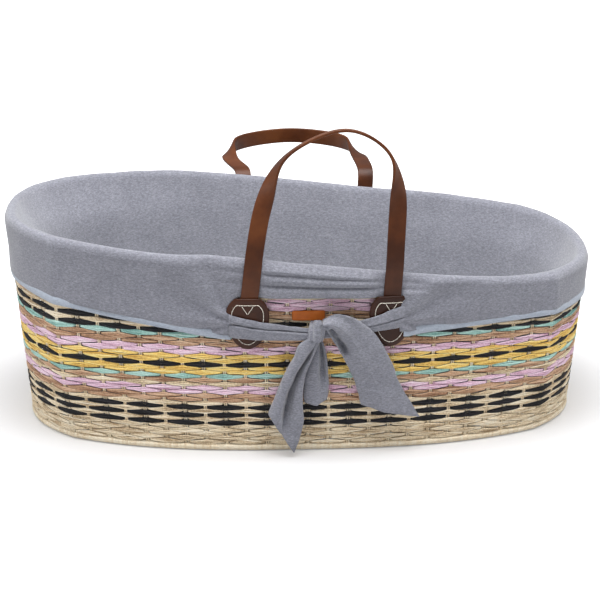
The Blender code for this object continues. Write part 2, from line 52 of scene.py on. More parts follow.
# ---- the basket's shape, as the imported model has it
RIM_HALF_LENGTH, RIM_HALF_WIDTH = 0.415, 0.233
BASE_HALF_LENGTH, BASE_HALF_WIDTH = 0.3915, 0.206
PLAN_EXPONENT = 2.5
RIM_MID_HEIGHT, RIM_SLOPE, RIM_CURVE = 0.268, -0.083, -0.045
STAKES = 72
CORNER_ANGLE = math.radians(37)
CREASE, CREASE_REACH = 0.016, 0.048
FIRST_ROW, PITCH, ROWS = 0.0187, 0.0059, 43
LEVEL_ROWS, LAST_EVEN_ROW = 19, 35
HEAD_FAN, FOOT_FAN = 0.14, -0.20
HANDLE_FEET = (-0.083, 0.111)
HINGE_FEET = (-0.0745, 0.1155)
HINGE_HEIGHT, HINGE_OUT = 0.284, 0.2395
STRAP_WIDE = 0.0238
PATCH_MIDDLE = 0.2077
FLARE = (RIM_HALF_WIDTH - BASE_HALF_WIDTH) / RIM_MID_HEIGHT


def rim_height(x):
    return RIM_MID_HEIGHT + RIM_SLOPE * x + RIM_CURVE * x * x


def oval(angle, length, width):
    power = 2 / PLAN_EXPONENT
    c, s = np.cos(angle), np.sin(angle)
    x = length * np.sign(c) * np.abs(c) ** power
    y = width * np.sign(s) * np.abs(s) ** power
    return np.stack([x, y], axis=-1)


def build_outline(fine=7200):
    """The outline at mid height by equal steps of length: direction factors, normals, corner distance."""
    length = (BASE_HALF_LENGTH + RIM_HALF_LENGTH) / 2
    width = (BASE_HALF_WIDTH + RIM_HALF_WIDTH) / 2
    angle = np.linspace(0, 2 * np.pi, fine + 1)
    here = oval(angle, length, width)
    travelled = np.concatenate([[0], np.cumsum(np.linalg.norm(np.diff(here, axis=0), axis=1))])
    steps = STAKES * 24
    even = np.interp(np.linspace(0, travelled[-1], steps + 1), travelled, angle)
    factor = oval(even, 1, 1)
    along = oval(even + 0.02, length, width) - oval(even - 0.02, length, width)
    normal = np.stack([along[:, 1], -along[:, 0]], axis=-1)
    normal /= np.linalg.norm(normal, axis=1)[:, None]
    stakes = even[::24][:STAKES]
    wanted = [CORNER_ANGLE, np.pi - CORNER_ANGLE, np.pi + CORNER_ANGLE, 2 * np.pi - CORNER_ANGLE]
    corners = [stakes[np.argmin(np.abs(stakes - w))] for w in wanted]
    places = oval(even, length, width)
    near = np.min([np.linalg.norm(places - oval(c, length, width), axis=1) for c in corners], axis=0)
    return np.linspace(0, STAKES, steps + 1), factor, normal, near, travelled[-1]


STATIONS, FACTOR, NORMAL, NEAR, GIRTH = build_outline()
SPACING = GIRTH / STAKES


def at(u, table):
    return np.interp(np.mod(u, STAKES), STATIONS, table)


def wall(u, out, z, crease=1.0):
    """Points out from the wall's outer face. u counts stakes from the foot end, by way of the back."""
    u, out, z = np.broadcast_arrays(np.asarray(u, float), out, z)
    share = z / RIM_MID_HEIGHT
    length = BASE_HALF_LENGTH + (RIM_HALF_LENGTH - BASE_HALF_LENGTH) * share
    width = BASE_HALF_WIDTH + (RIM_HALF_WIDTH - BASE_HALF_WIDTH) * share
    rise = np.clip(z, 0, RIM_MID_HEIGHT) / RIM_MID_HEIGHT
    bulge = crease * CREASE * (0.35 + 0.65 * np.sin(np.pi * rise)) * np.exp(-at(u, NEAR) / CREASE_REACH)
    push = out + bulge
    x = at(u, FACTOR[:, 0]) * length + at(u, NORMAL[:, 0]) * push
    y = at(u, FACTOR[:, 1]) * width + at(u, NORMAL[:, 1]) * push
    return np.stack([x, y, z], axis=-1)


def rim_x(u):
    return wall(u, 0.0, RIM_MID_HEIGHT)[..., 0]


def row_height(row, x):
    """Middle of a woven row: level below, fanned towards the head above, then filling up to the rim."""
    if row <= LEVEL_ROWS:
        return FIRST_ROW + PITCH * row + 0 * x
    reach = np.minimum(np.abs(x) / RIM_HALF_LENGTH, 1)
    fan = np.where(x < 0, HEAD_FAN, FOOT_FAN)
    pitch = PITCH * (1 + fan * reach * reach * (3 - 2 * reach))
    level = FIRST_ROW + PITCH * LEVEL_ROWS
    if row <= LAST_EVEN_ROW:
        return level + pitch * (row - LEVEL_ROWS)
    last = level + pitch * (LAST_EVEN_ROW - LEVEL_ROWS)
    top = rim_height(x) - 0.0125
    return last + (top - last) * (row - LAST_EVEN_ROW) / (ROWS - 0.5 - LAST_EVEN_ROW)


def side_y(x, side, out, z):
    """Where the long side of the wall is at x and z, plus out. side is -1 at the front, 1 at the back."""
    span = np.linspace(0, STAKES / 2, 1441) if side > 0 else np.linspace(STAKES / 2, STAKES, 1441)
    level = wall(span, 0.0, float(np.mean(z)))
    order = np.argsort(level[:, 0])
    y = np.interp(x, level[order, 0], level[order, 1])
    return y + side * (FLARE * (np.asarray(z) - np.mean(z)) + out)


# ---- mesh building
def link_object(name, data, location=(0, 0, 0)):
    """A new object, linked into the scene."""
    obj = bpy.data.objects.new(name, data)
    obj.location = location
    bpy.context.scene.collection.objects.link(obj)
    return obj


class Pile:
    """Collects surfaces into one mesh, with a tint per point and a material slot per face."""

    def __init__(self):
        self.points, self.faces, self.slots, self.tints = [], [], [], []
        self.count = 0

    def grid(self, rows, loop_rows=False, loop_columns=False, slot=0, tint=0.5):
        """A sheet or tube over an array of points (rows, columns, 3)."""
        n, m = rows.shape[:2]
        i = np.arange(n if loop_rows else n - 1)[:, None]
        j = np.arange(m if loop_columns else m - 1)[None, :]
        i2, j2 = (i + 1) % n, (j + 1) % m
        quads = np.stack([i * m + j, i * m + j2, i2 * m + j2, i2 * m + j], axis=-1).reshape(-1, 4)
        self.faces.extend((quads + self.count).tolist())
        self.slots.extend([slot] * len(quads))
        self.points.append(rows.reshape(-1, 3))
        self.tints.append(np.broadcast_to(np.asarray(tint, float).reshape(-1, 1), (n, m)).reshape(-1))
        self.count += n * m

    def tube(self, path, tall, wide, up=None, sides=6, closed=False, slot=0, tint=0.5):
        """A tube of oval section along a path: tall along up, wide across. Open ends get caps."""
        along = np.roll(path, -1, 0) - np.roll(path, 1, 0)
        if not closed:
            along[0], along[-1] = path[1] - path[0], path[-1] - path[-2]
        along /= np.linalg.norm(along, axis=1)[:, None]
        up = np.broadcast_to(np.array([0, 0, 1.0]) if up is None else up, path.shape)
        side = np.cross(along, up)
        side /= np.linalg.norm(side, axis=1)[:, None]
        top = np.cross(side, along)
        turn = 2 * np.pi * (np.arange(sides) + 0.5) / sides
        tall = np.broadcast_to(tall, len(path))[:, None, None]
        wide = np.broadcast_to(wide, len(path))[:, None, None]
        rings = path[:, None] + side[:, None] * (wide * np.cos(turn)[None, :, None])
        rings = rings + top[:, None] * (tall * np.sin(turn)[None, :, None])
        first = self.count
        self.grid(rings, loop_rows=closed, loop_columns=True, slot=slot, tint=tint)
        if not closed:
            last = first + (len(path) - 1) * sides
            self.faces.append([first + k for k in range(sides)])
            self.faces.append([last + k for k in reversed(range(sides))])
            self.slots.extend([slot, slot])

    def cap(self, around):
        """Closes both ends of the pile's first tube, which has that many points around it."""
        last = self.count - around
        self.faces.append(list(range(around)))
        self.faces.append([last + k for k in range(around)])
        self.slots += [0, 0]

    def make(self, name, materials):
        """The finished mesh, as an object in the scene."""
        mesh = bpy.data.meshes.new(name)
        points = np.concatenate(self.points)
        mesh.from_pydata(points.tolist(), [], self.faces)
        attribute = mesh.attributes.new("tint", "FLOAT", "POINT")
        attribute.data.foreach_set("value", np.concatenate(self.tints).astype(np.float32))
        for material in materials:
            mesh.materials.append(material)
        mesh.polygons.foreach_set("material_index", np.array(self.slots, dtype=np.int32))
        mesh.shade_smooth()
        mesh.validate()
        return link_object(name, mesh)


def add(obj, kind, **settings):
    modifier = obj.modifiers.new(kind.lower(), kind)
    for key, value in settings.items():
        setattr(modifier, key, value)


def settle(obj, slot, *nodes, body="basket"):
    """Puts a finished piece on its body, in place of its CAD nodes; the slot argument is not used."""
    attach(obj, body)
    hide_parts(*nodes)


def face_outwards(obj, last_face_up=False):
    """Turns a closed mesh's faces outwards, or an open one's to the side where its last face looks up."""
    work = bmesh.new()
    work.from_mesh(obj.data)
    bmesh.ops.recalc_face_normals(work, faces=work.faces)
    work.faces.ensure_lookup_table()
    if last_face_up and work.faces[-1].normal.z < 0:
        bmesh.ops.reverse_faces(work, faces=work.faces)
    work.to_mesh(obj.data)
    work.free()


def closed_piece(pile, name, materials, slot, *nodes):
    """Makes a closed piece of the basket from a pile and settles it."""
    obj = pile.make(name, materials)
    face_outwards(obj)
    settle(obj, slot, *nodes)
    return obj


def curve_through(points, count):
    """A smooth curve through the points, at equal steps of length."""
    points = np.asarray(points, float)
    ends = np.vstack([2 * points[0] - points[1], points, 2 * points[-1] - points[-2]])
    path = []
    for a, b, c, d in zip(ends, ends[1:], ends[2:], ends[3:]):
        t = np.linspace(0, 1, 24, endpoint=False)[:, None]
        square, cube = 2 * a - 5 * b + 4 * c - d, 3 * b - a - 3 * c + d
        path.append((2 * b + (c - a) * t + square * t**2 + cube * t**3) / 2)
    path = np.vstack([*path, points[-1:]])
    travelled = np.concatenate([[0], np.cumsum(np.linalg.norm(np.diff(path, axis=0), axis=1))])
    steps = np.linspace(0, travelled[-1], count)
    return np.stack([np.interp(steps, travelled, path[:, k]) for k in range(path.shape[1])], axis=-1)


def smoothstep(low, high, value):
    """0 up to low, 1 from high, and smooth between; low may be the larger of the two."""
    t = np.clip((value - low) / (high - low), 0, 1)
    return t * t * (3 - 2 * t)


def hump(value, middle, half, power=2):
    """1 at the middle, falling away on both sides; a higher power has a flatter top."""
    return np.exp(-(((value - middle) / half) ** power))


def wander(count, scale, seed):
    """Smooth random values about -1 to 1 along a path."""
    knots = max(4, int(scale))
    local = np.random.default_rng(seed + 5000)
    values = local.uniform(-1, 1, knots)
    place = np.arange(count) / count * knots
    i = place.astype(int)
    t = place - i
    t = t * t * (3 - 2 * t)
    return values[i % knots] * (1 - t) + values[(i + 1) % knots] * t


# ---- materials
class Shader:
    """A short way to wire a node material."""

    def __init__(self, name, roughness=0.8, **settings):
        self.material = bpy.data.materials.new(name)
        self.material.use_nodes = True
        self.tree = self.material.node_tree
        self.surface = self.tree.nodes["Principled BSDF"]
        self.surface.inputs["Roughness"].default_value = roughness
        for key, value in settings.items():
            self.surface.inputs[key.replace("_", " ")].default_value = value

    def node(self, kind, **settings):
        made = self.tree.nodes.new(kind)
        for key, value in settings.items():
            setattr(made, key, value)
        return made

    def link(self, a, b):
        self.tree.links.new(a, b)

    def place(self, scale=(1, 1, 1)):
        coordinates = self.node("ShaderNodeTexCoord")
        mapping = self.node("ShaderNodeMapping")
        mapping.inputs["Scale"].default_value = scale
        self.link(coordinates.outputs["Object"], mapping.inputs["Vector"])
        return mapping.outputs["Vector"]

    def noise(self, scale, detail=2.0, roughness=0.5, stretch=(1, 1, 1)):
        made = self.node("ShaderNodeTexNoise")
        made.inputs["Scale"].default_value = scale
        made.inputs["Detail"].default_value = detail
        made.inputs["Roughness"].default_value = roughness
        self.link(self.place(stretch), made.inputs["Vector"])
        return made.outputs["Fac"]

    def attribute(self, name):
        return self.node("ShaderNodeAttribute", attribute_name=name).outputs["Fac"]

    def math(self, operation, a, b):
        made = self.node("ShaderNodeMath", operation=operation)
        for socket, value in zip(made.inputs, (a, b)):
            if isinstance(value, (int, float)):
                socket.default_value = value
            else:
                self.link(value, socket)
        return made.outputs[0]

    def total(self, *parts):
        """The sum of sockets, each times its share."""
        shares = [self.math("MULTIPLY", value, share) for value, share in parts]
        value = shares[0]
        for share in shares[1:]:
            value = self.math("ADD", value, share)
        return value

    def ramp(self, value, stops):
        made = self.node("ShaderNodeValToRGB")
        band = made.color_ramp
        while len(band.elements) < len(stops):
            band.elements.new(0.5)
        for element, (place, colour) in zip(band.elements, stops):
            element.position = place
            element.color = (*colour, 1)
        self.link(value, made.inputs["Fac"])
        return made.outputs["Color"]

    def colour(self, value):
        self.link(value, self.surface.inputs["Base Color"])

    def bump(self, height, strength, distance):
        made = self.node("ShaderNodeBump")
        made.inputs["Strength"].default_value = strength
        made.inputs["Distance"].default_value = distance
        self.link(height, made.inputs["Height"])
        self.link(made.outputs["Normal"], self.surface.inputs["Normal"])


def linear(*colour):
    """A colour written as 0 to 255 screen values."""
    return tuple((c / 255 / 12.92) if c <= 10 else ((c / 255 + 0.055) / 1.055) ** 2.4 for c in colour)


def cord_material(name, dark, middle, light):
    """Twisted grass: the tint of each strand, with fibres that vary along it."""
    made = Shader(name, roughness=0.75)
    fibre = made.noise(420, detail=3, roughness=0.65)
    patchy = made.noise(38, detail=2)
    value = made.total((fibre, 0.45), (patchy, 0.25), (made.attribute("tint"), 0.30))
    made.colour(made.ramp(value, ((0.32, dark), (0.5, middle), (0.68, light))))
    made.bump(made.noise(420, detail=3, roughness=0.7), 0.9, 0.0012)
    return made.material


def jersey_material(name, dark, middle, light):
    """Heather-grey jersey: light and dark fibres drawn out level, over faint broad patches."""
    made = Shader(name, roughness=0.95, Sheen_Weight=0.35, Sheen_Roughness=0.6)
    made.surface.inputs["Specular IOR Level"].default_value = 0.15
    streaks = made.noise(240, detail=3, roughness=0.7, stretch=(1, 1, 2.4))
    flecks = made.noise(620, detail=2, roughness=0.6, stretch=(1, 1, 1.8))
    broad = made.noise(26, detail=2)
    value = made.total((streaks, 0.6), (flecks, 0.3), (broad, 0.1))
    made.colour(made.ramp(value, ((0.30, dark), (0.5, middle), (0.70, light))))
    made.bump(made.noise(1400, detail=1), 0.2, 0.0003)
    return made.material


def leather_material(name, dark, middle, light):
    """Smooth leather with a fine grain, a little mottled."""
    made = Shader(name, roughness=0.42)
    made.surface.inputs["Specular IOR Level"].default_value = 0.3
    mottle = made.noise(24, detail=4, roughness=0.6)
    value = made.total((mottle, 0.65), (made.attribute("tint"), 0.35))
    made.colour(made.ramp(value, ((0.3, dark), (0.5, middle), (0.72, light))))
    grain = made.node("ShaderNodeTexVoronoi", feature="DISTANCE_TO_EDGE")
    grain.inputs["Scale"].default_value = 900
    made.link(made.place(), grain.inputs["Vector"])
    cells = made.math("MULTIPLY", grain.outputs["Distance"], 0.8)
    made.bump(made.math("ADD", cells, made.noise(300, detail=3)), 0.25, 0.0004)
    return made.material


def steel_material():
    made = Shader("frame_paint", roughness=0.4, Metallic=0.7)
    value = made.noise(60, detail=4, roughness=0.6)
    made.colour(made.ramp(value, ((0.35, (0.14, 0.13, 0.12)), (0.65, (0.26, 0.25, 0.23)))))
    made.bump(made.noise(500, detail=2), 0.2, 0.0002)
    return made.material


def cotton_material():
    made = Shader("white_cotton_weave", roughness=0.9, Sheen_Weight=0.2)
    threads = made.noise(700, detail=1)
    broad = made.noise(18, detail=3)
    value = made.total((threads, 0.5), (broad, 0.5))
    made.colour(made.ramp(value, ((0.35, (0.66, 0.66, 0.64)), (0.65, (0.80, 0.80, 0.78)))))
    made.bump(threads, 0.4, 0.0004)
    return made.material


def shades(kind, name, *tones):
    """A material of one kind, from its dark, middle and light tones as screen values."""
    return kind(name, *(linear(*tone) for tone in tones))


CORDS = {
    "natural": shades(cord_material, "natural_grass", (172, 144, 108), (238, 219, 186), (252, 241, 218)),
    "black": shades(cord_material, "black_grass", (6, 6, 9), (15, 14, 19), (34, 33, 40)),
    "brown": shades(cord_material, "brown_grass", (144, 104, 76), (202, 162, 130), (226, 194, 164)),
    "pink": shades(cord_material, "pink_grass", (204, 158, 182), (242, 208, 227), (252, 230, 242)),
    "teal": shades(cord_material, "teal_grass", (122, 170, 162), (174, 216, 206), (204, 234, 226)),
    "yellow": shades(cord_material, "yellow_grass", (216, 170, 84), (252, 217, 124), (255, 236, 166)),
}
CORD_NAMES = list(CORDS)
JERSEY = shades(jersey_material, "heather_jersey", (96, 97, 106), (128, 129, 139), (162, 164, 174))
BINDING = shades(jersey_material, "hem_facing", (142, 151, 164), (164, 173, 187), (186, 194, 206))
LEATHER = shades(leather_material, "tan_leather", (60, 28, 10), (86, 44, 18), (108, 60, 28))
PATCH_LEATHER = shades(leather_material, "dark_leather", (38, 16, 7), (58, 27, 12), (80, 42, 20))
TAB_LEATHER = shades(leather_material, "orange_leather", (136, 66, 16), (186, 98, 32), (210, 126, 56))
THREAD = shades(cord_material, "waxed_thread", (206, 196, 180), (232, 224, 210), (246, 240, 230))
STEEL = steel_material()
COTTON = cotton_material()


# ---- weaving
OVER_OUT, UNDER_OUT, STAKE_OUT = 0.0009, -0.0050, -0.0012
LENS_SPREAD, PINCH_SPREAD = 0.0027, 0.0006
TUCK = 0.0040
STRAND_HALF_THICK = 0.0010
STAKE_RADIUS, STAKE_PAIR = 0.0011, 0.0013
# steps along a row from one stake it passes under to the next, as shares of the distance
STEPS = (0.0, 0.045, 0.075, 0.115, 0.19, 0.29, 0.39, 0.5, 0.61, 0.71, 0.81, 0.885, 0.925, 0.955)
BANDS = {
    "band_natural_low": ["natural"] * 5,
    "band_check_low": ["black", "natural", "black", "natural", "black"],
    "band_brown_low": ["natural", "brown", "brown"],
    "band_pink_low": ["pink", "pink"],
    "band_teal_low": ["natural", "brown", "teal"],
    "band_yellow_black": ["yellow", "yellow", "black", "yellow", "yellow"],
    "band_pink_mid": ["pink", "pink"],
    "band_brown_mid": ["brown", "brown", "teal"],
    "band_check_high": ["black", "natural", "black"],
    "band_pink_high": ["natural", "brown", "brown", "pink", "pink", "pink"],
    "band_top": ["natural", "yellow", "yellow", "black", "yellow", "yellow", "natural"],
}


def weave_row(pile, row, colour):
    """Three strands that dive under every second stake, and spread to a long diamond over the others."""
    starts = np.arange(0, STAKES, 2)[:, None] + (1 + row) % 2
    u = (starts + 2 * np.array(STEPS)[None, :]).reshape(-1)
    share = np.tile(np.array(STEPS), STAKES // 2)
    diamond = (1 - np.abs(2 * share - 1)) ** 1.25
    reach = np.minimum(share, 1 - share) * 2 * SPACING
    out = OVER_OUT + (UNDER_OUT - OVER_OUT) * hump(reach, 0, TUCK, 4) - 0.0006 * (1 - diamond)
    middle = row_height(row, rim_x(u))
    squeeze = (row_height(row + 0.5, rim_x(u)) - row_height(row - 0.5, rim_x(u))) / PITCH
    middle = middle + 0.0005 * wander(len(u), 60, 9000 + row)
    for k in (-1, 0, 1):
        seed = 100 * row + k
        spread = (PINCH_SPREAD + (LENS_SPREAD - PINCH_SPREAD) * diamond) * squeeze
        z = middle + k * spread + wander(len(u), 190, seed) * 0.00045
        bow = out - 0.0004 * abs(k) * diamond + wander(len(u), 160, seed + 50) * 0.00045
        tall = (0.00094 + 0.00044 * diamond) * squeeze * (1 + 0.16 * wander(len(u), 170, seed + 75))
        tint = np.clip(0.5 + 0.5 * wander(len(u), 90, seed + 25), 0, 1)
        slot = CORD_NAMES.index(colour)
        pile.tube(wall(u, bow, z), tall, STRAND_HALF_THICK, closed=True, slot=slot, tint=tint)


def weave_walls():
    """All the rows, band by band. The lowest lies over the top of the base border."""
    row = -1
    for name, colours in BANDS.items():
        pile = Pile()
        for colour in colours:
            weave_row(pile, row, colour)
            row += 1
        closed_piece(pile, name + "_weave", list(CORDS.values()), colours[0] + "_cord", name)


def weave_stakes():
    """Each stake is a pair of thin cords that stand between the over and under strands."""
    pile = Pile()
    for k in range(STAKES):
        top = rim_height(rim_x(k)) - 0.008
        z = np.linspace(0.008, top, 26)
        outward = wall(k, 1.0, 0.1) - wall(k, 0.0, 0.1)
        for side in (-1, 1):
            u = k + side * STAKE_PAIR / SPACING + wander(len(z), 6, 3000 + 2 * k + side) * 0.012
            tint = 0.7 + 0.3 * wander(len(z), 8, 4000 + 2 * k + side)
            pile.tube(wall(u, STAKE_OUT, z), STAKE_RADIUS, STAKE_RADIUS, up=outward, tint=tint)
    closed_piece(pile, "woven_stakes", [CORDS["natural"]], "natural_cord", "stake_cage")


def wrapped_border(node, middle_out, middle_z, half_wide, half_tall, wraps, per_wrap, sides):
    """A cord border bound with a slanting wrap: each turn stands proud, with a groove between turns."""
    count = STAKES * wraps * per_wrap
    u = np.arange(count) / (wraps * per_wrap)
    turn = 2 * np.pi * np.arange(sides) / sides
    slant = 0.8 * turn[None, :] / (2 * np.pi)
    phase = (u[:, None] * wraps + slant) % 1
    swell = 1 + 0.10 * (np.sin(np.pi * phase) ** 0.6 - 0.7)
    out = middle_out + half_wide * np.cos(turn)[None, :] * swell
    z = middle_z(rim_x(u))[:, None] + half_tall * np.sin(turn)[None, :] * swell
    tint = np.repeat(rng.uniform(0.55, 1, STAKES * wraps), per_wrap)
    pile = Pile()
    pile.grid(wall(u[:, None], out, z), loop_rows=True, loop_columns=True, tint=tint)
    closed_piece(pile, node + "_coil", [CORDS["natural"]], "natural_cord", node)


def floor_mat():
    """The woven mat under the floor: rows along the basket over and under crosswise stakes."""
    pile = Pile()
    inset, gap, stake_gap = 0.013, 0.0068, 0.028
    middle_z = 0.0048
    length, width = BASE_HALF_LENGTH - inset, BASE_HALF_WIDTH - inset
    rows = int(width / gap)
    for row in range(-rows, rows + 1):
        y = row * gap
        half = length * (1 - min(abs(y) / width, 0.999) ** PLAN_EXPONENT) ** (1 / PLAN_EXPONENT)
        x = np.arange(-half, half, 0.0070)
        over = np.cos(np.pi * (x / stake_gap + row))
        for k in (-0.5, 0.5):
            z = middle_z - 0.0016 * over
            seed = row * 3 + int(2 * k)
            y_line = y + k * (0.0020 + 0.0012 * np.abs(over)) + wander(len(x), 40, seed) * 0.0003
            path = np.stack([x, y_line, z], axis=-1)
            tint = 0.5 + 0.5 * wander(len(x), 30, 900 + seed)
            pile.tube(path, 0.0010, 0.0016, sides=5, tint=tint)
    for column in range(-13, 14):
        x = column * stake_gap
        half = width * (1 - min(abs(x) / length, 0.999) ** PLAN_EXPONENT) ** (1 / PLAN_EXPONENT)
        y = np.linspace(-half, half, 60)
        for k in (-1, 1):
            path = np.stack([np.full_like(y, x + k * 0.0013), y, np.full_like(y, middle_z)], axis=-1)
            pile.tube(path, 0.0009, 0.0010, sides=5, tint=0.6)
    closed_piece(pile, "floor_mat", [CORDS["natural"]], "natural_cord", "floor_weave")


# ---- liner
WINDOW = (-0.1125, 0.131)
FLAP_DROP, FLAP_RISE = 0.0428, 0.070
FLAP_ROWS, SKIRT_ROWS = 20, 12
CLOTH = 0.0016
STAKE_GAP = 0.0292
COLUMNS = STAKES * 8
# where the cloth lies inside the wall, and where it meets the floor
LINED_OUT = -0.0122
LINER_FLOOR, FLOOR_EDGE, FLOOR_CURL = 0.0197, 0.030, 0.016
INNER_STEPS = 16
# y beyond which the wall counts as one of the long sides, for the flap and for the skirt
FLAP_SIDE, SKIRT_SIDE = 0.15, 0.12
# how far below the rim the hem hangs, at places along the basket from head to foot
HEM = ((-0.43, 0.078), (-0.305, 0.088), (-0.20, 0.098), (-0.12, 0.105), (0.02, 0.095), (0.147, 0.0815),
       (0.234, 0.068), (0.33, 0.056), (0.43, 0.047))
STRIP = 0.0075
# how far the cloth puffs above the rim, front and back
FRONT_PUFF = ((-0.43, 0.006), (-0.33, 0.005), (-0.20, 0.003), (-0.125, 0.008), (-0.075, 0.006), (0.0, 0.004),
              (0.11, 0.001), (0.2, -0.002), (0.28, -0.003), (0.35, 0.001), (0.40, 0.007), (0.43, 0.010))
BACK_PUFF = ((-0.43, 0.003), (-0.3, 0.006), (-0.2, 0.008), (-0.12, 0.006), (-0.05, 0.004), (0.0, 0.002),
             (0.1, 0.0), (0.22, 0.004), (0.32, 0.009), (0.38, 0.011), (0.43, 0.010))


def smooth_table(x, table):
    line = curve_through(table, 200)
    return np.interp(x, line[:, 0], line[:, 1])


def skirt_drop(x):
    """Down to the hem of the skirt's own cloth; the facing shows below it."""
    return smooth_table(x, HEM) - STRIP


def puff(x, y):
    front = smoothstep(0.10, -0.10, y)
    return smooth_table(x, FRONT_PUFF) * front + smooth_table(x, BACK_PUFF) * (1 - front)


def liner_columns():
    """Column places round the rim, with a column exactly on each edge of the slits by the handles."""
    per_stake = COLUMNS / STAKES
    u = np.arange(COLUMNS) / per_stake
    x, y = rim_x(u), wall(u, 0.0, RIM_MID_HEIGHT)[:, 1]
    for edge in WINDOW:
        for side in (-1, 1):
            k = int(np.argmin(np.where(np.sign(y) == side, np.abs(x - edge), 9.0)))
            u[k] += (edge - x[k]) / ((x[(k + 1) % COLUMNS] - x[k - 1]) / 2 * per_stake)
    return u


def cloth_noise(points, scale, seed):
    offset = Vector((seed, 2.3 * seed, 0))
    return np.array([noise.noise(Vector(p) * scale + offset) for p in points])


def flap_ridges(x, drop):
    """The flap stands off the wall, with two level tucks, and is pressed down where the straps cross it."""
    tucks = np.zeros_like(x)
    for place, depth in ((0.0120, 0.0052), (0.0270, 0.0058)):
        waved = place + 0.0010 * np.sin(24 * x + 40 * place)
        bend = waved * (1 - 1.9 * np.clip(x - HANDLE_FEET[0], 0, 0.2))
        tucks = tucks - depth * hump(drop, bend, 0.0032)
    pressed = sum(hump(x - foot, 0.004 * np.sign(0.01 - foot), 0.021, 4) for foot in HANDLE_FEET)
    return (0.0086 * smoothstep(0.0, 0.008, drop) + tucks) * (1 - 0.75 * pressed)


def skirt_shape(x, z, drop, long_side):
    """How far the skirt stands off at each column: the flap between the handles, creases beyond the slits."""
    middle, half = (HANDLE_FEET[0] + HANDLE_FEET[1]) / 2, 0.125
    between = hump(x, middle, half, 6) * long_side
    skirt = 0.0014 + 0.0016 * wander(len(x), 26, 77) * smoothstep(0.01, 0.07, drop)
    for edge, way, top, stand in ((WINDOW[0], -1, 0.222, 0.0060), (WINDOW[1], 1, 0.248, 0.0105)):
        beyond = way * (x - edge) > -1e-4
        away = np.maximum(way * (x - edge), 0)
        rise = z - 0.196
        far = np.hypot(away, rise)
        fan = np.arctan2(rise, away + 0.004)
        creases = 0.0048 * np.sin(7.5 * fan + 1.2) * smoothstep(0.0, 0.02, far) * np.exp(-far / 0.085)
        near = beyond * hump(away, 0, 0.022) * smoothstep(top, top - 0.014, z) * long_side
        skirt = skirt + creases * beyond * long_side + stand * near
    return between * flap_ridges(x, drop) + (1 - between) * skirt


def slit_draw(x, z, below_flap):
    """How far the sashes draw in the skirt by the slits: left edge to the right, right to the left."""
    left = 0.0080 * hump(x, WINDOW[0], 0.020) * smoothstep(0.217, 0.206, z)
    right = 0.0065 * hump(x, WINDOW[1], 0.020) * smoothstep(0.238, 0.215, z)
    return (right - left) * below_flap


def liner_inside(x, rim):
    """Rows inside the cradle, as (out, z): the floor's edge, up the wall under a soft lip, over the rim."""
    lip = 0.006 + 0.018 * smoothstep(-0.10, -0.40, x) + 0.008 * smoothstep(0.12, 0.40, x)
    rows = []
    for share in (0.0, 0.35, 0.7, 1.0):
        rows.append((LINED_OUT - FLOOR_EDGE * (1 - share), LINER_FLOOR + FLOOR_CURL * share**2 + 0 * x))
    for i in range(1, INNER_STEPS + 1):
        z = LINER_FLOOR + FLOOR_CURL + (rim - 0.004 - LINER_FLOOR - FLOOR_CURL) * (i / INNER_STEPS)
        pull = lip * smoothstep(0.0, 0.055, rim - z) * smoothstep(0.0, 0.12, z - LINER_FLOOR)
        rows.append((LINED_OUT - pull, z))
    over = ((-0.0112, -0.0005), (-0.0088, 0.0026), (-0.0052, 0.0040), (-0.0016, 0.0030), (0.0010, 0.0002))
    return rows + [(out, rim + above) for out, above in over]


def liner_outside(x, y, rim):
    """Rows outside, as (out, z): down the flap, which is shorter towards the foot, then down the skirt."""
    on_side = np.abs(y) > FLAP_SIDE
    flap = FLAP_DROP - FLAP_RISE * np.clip(x - HANDLE_FEET[0], 0, 0.2) * on_side
    flap = flap + 0.0165 * smoothstep(-0.094, -0.112, x) * smoothstep(-0.150, -0.125, x) * on_side
    rows = []
    for i in range(1, FLAP_ROWS + 1):
        rows.append((0.0022, rim - (0.003 + (flap - 0.003) * i / FLAP_ROWS)))
    for i in range(1, SKIRT_ROWS + 1):
        share = i / SKIRT_ROWS
        rows.append((0.0024 + 0.0006 * share, rim - flap - (skirt_drop(x) - flap) * share))
    return rows


def liner():
    """One cloth for the floor's edge, the inner wall, the roll over the rim, the flaps and the skirt."""
    u = liner_columns()
    x, y = rim_x(u), wall(u, 0.0, RIM_MID_HEIGHT)[:, 1]
    rim = rim_height(x)
    lift = puff(x, y)
    inside, outside = liner_inside(x, rim), liner_outside(x, y, rim)
    flap_end = len(inside) + FLAP_ROWS - 1
    rows = []
    for i, (out, z) in enumerate(inside + outside):
        out = out + 0 * x
        if i >= len(inside):
            out = out + skirt_shape(x, z, rim - z, np.abs(y) > SKIRT_SIDE)
        crease = 0.25 + 0.75 * smoothstep(-0.012, 0.002, out)
        drawn = u - slit_draw(x, z, i > flap_end) * np.sign(-y) / STAKE_GAP
        rows.append(wall(drawn, out, z + lift * np.clip(1 - (rim - z) / 0.05, 0, 1), crease))
    pile = Pile()
    pile.grid(np.stack(rows, axis=1), loop_rows=True)
    window = (x > WINDOW[0] - 1e-6) & (x < WINDOW[1] + 1e-6) & (np.abs(y) > FLAP_SIDE)
    cut = window & np.roll(window, -1)
    high = len(rows) - 1
    pile.faces = [face for k, face in enumerate(pile.faces) if k % high < flap_end or not cut[k // high]]
    pile.faces.append([k * len(rows) for k in range(len(u))])
    pile.slots = [0] * len(pile.faces)
    obj = pile.make("liner_cloth", [JERSEY])
    soften(obj, 0.0010, 26, 5)
    face_outwards(obj, last_face_up=True)
    add(obj, "SOLIDIFY", thickness=CLOTH, offset=0.0)
    settle(obj, "grey_jersey", "liner")


